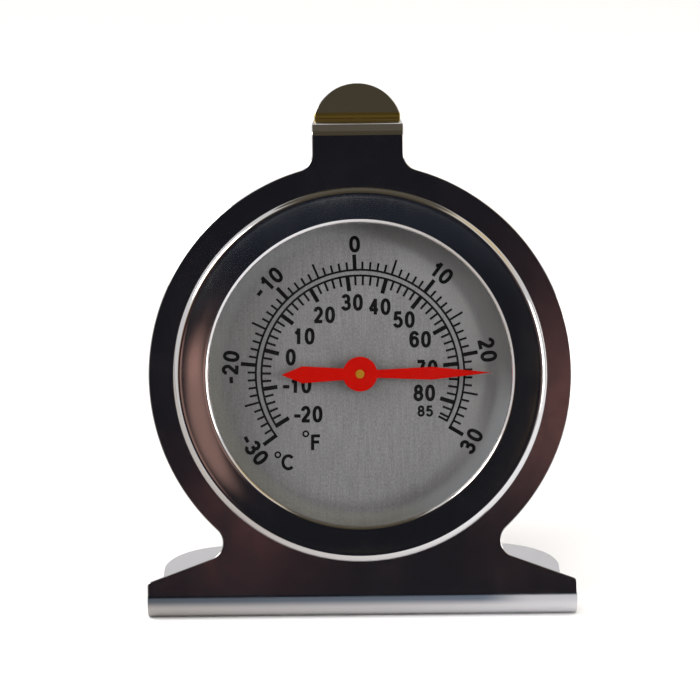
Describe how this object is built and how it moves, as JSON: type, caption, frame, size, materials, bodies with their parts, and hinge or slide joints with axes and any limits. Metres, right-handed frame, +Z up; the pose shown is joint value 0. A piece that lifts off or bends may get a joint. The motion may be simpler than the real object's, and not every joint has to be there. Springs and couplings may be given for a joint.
{
  "type": "dial thermometer",
  "caption": "Round bimetal dial thermometer with a red pointer, crimped in a folded sheet stand with a flat foot and a hang tab.",
  "frame": {"origin": "centre of the underside of the foot's flat", "axes": "+Z up, +X right as the dial is read, -Y towards the reader; the dial leans back 16 degrees"},
  "size_m": [0.06, 0.0346, 0.0697],
  "materials": {
    "stand": "thin stainless sheet, bright rolled finish",
    "bezel": "stainless, drawn and polished",
    "case": "stainless, drawn",
    "glass": "clear flat glass",
    "gasket": "black rubber",
    "spacer": "satin",
    "dial": "brushed up and down, with black printed scales",
    "pointer_red": "satin red paint",
    "brass": "turned",
    "steel": "stamped or turned steel",
    "bimetal": "rolled two-metal strip"
  },
  "bodies": {
    "case": {"stand_plate": "stand", "bezel_ring": "bezel", "glass_lens": "glass", "lens_gasket": "gasket", "spacer_ring": "spacer", "dial_plate": "dial", "case_cup": "case", "movement_base": "steel", "movement_bridge": "steel", "movement_rivets": "steel", "front_bearing": "brass", "rear_bearing": "brass", "coil_post": "brass", "coil_rivet": "brass", "bimetal_coil": "bimetal"},
    "pointer": {"coil_collet": "brass", "thrust_washers": "steel", "pointer_shaft": "brass", "pointer_bush": "brass", "pointer": "pointer_red"}
  },
  "joints": [
    {"name": "pointer_turn", "type": "hinge", "parent": "case", "child": "pointer", "pos_m": [0, -0.00828, 0.03331], "axis": [0, -0.96, 0.28], "range_deg": [-31.5, 215.4]}
  ]
}
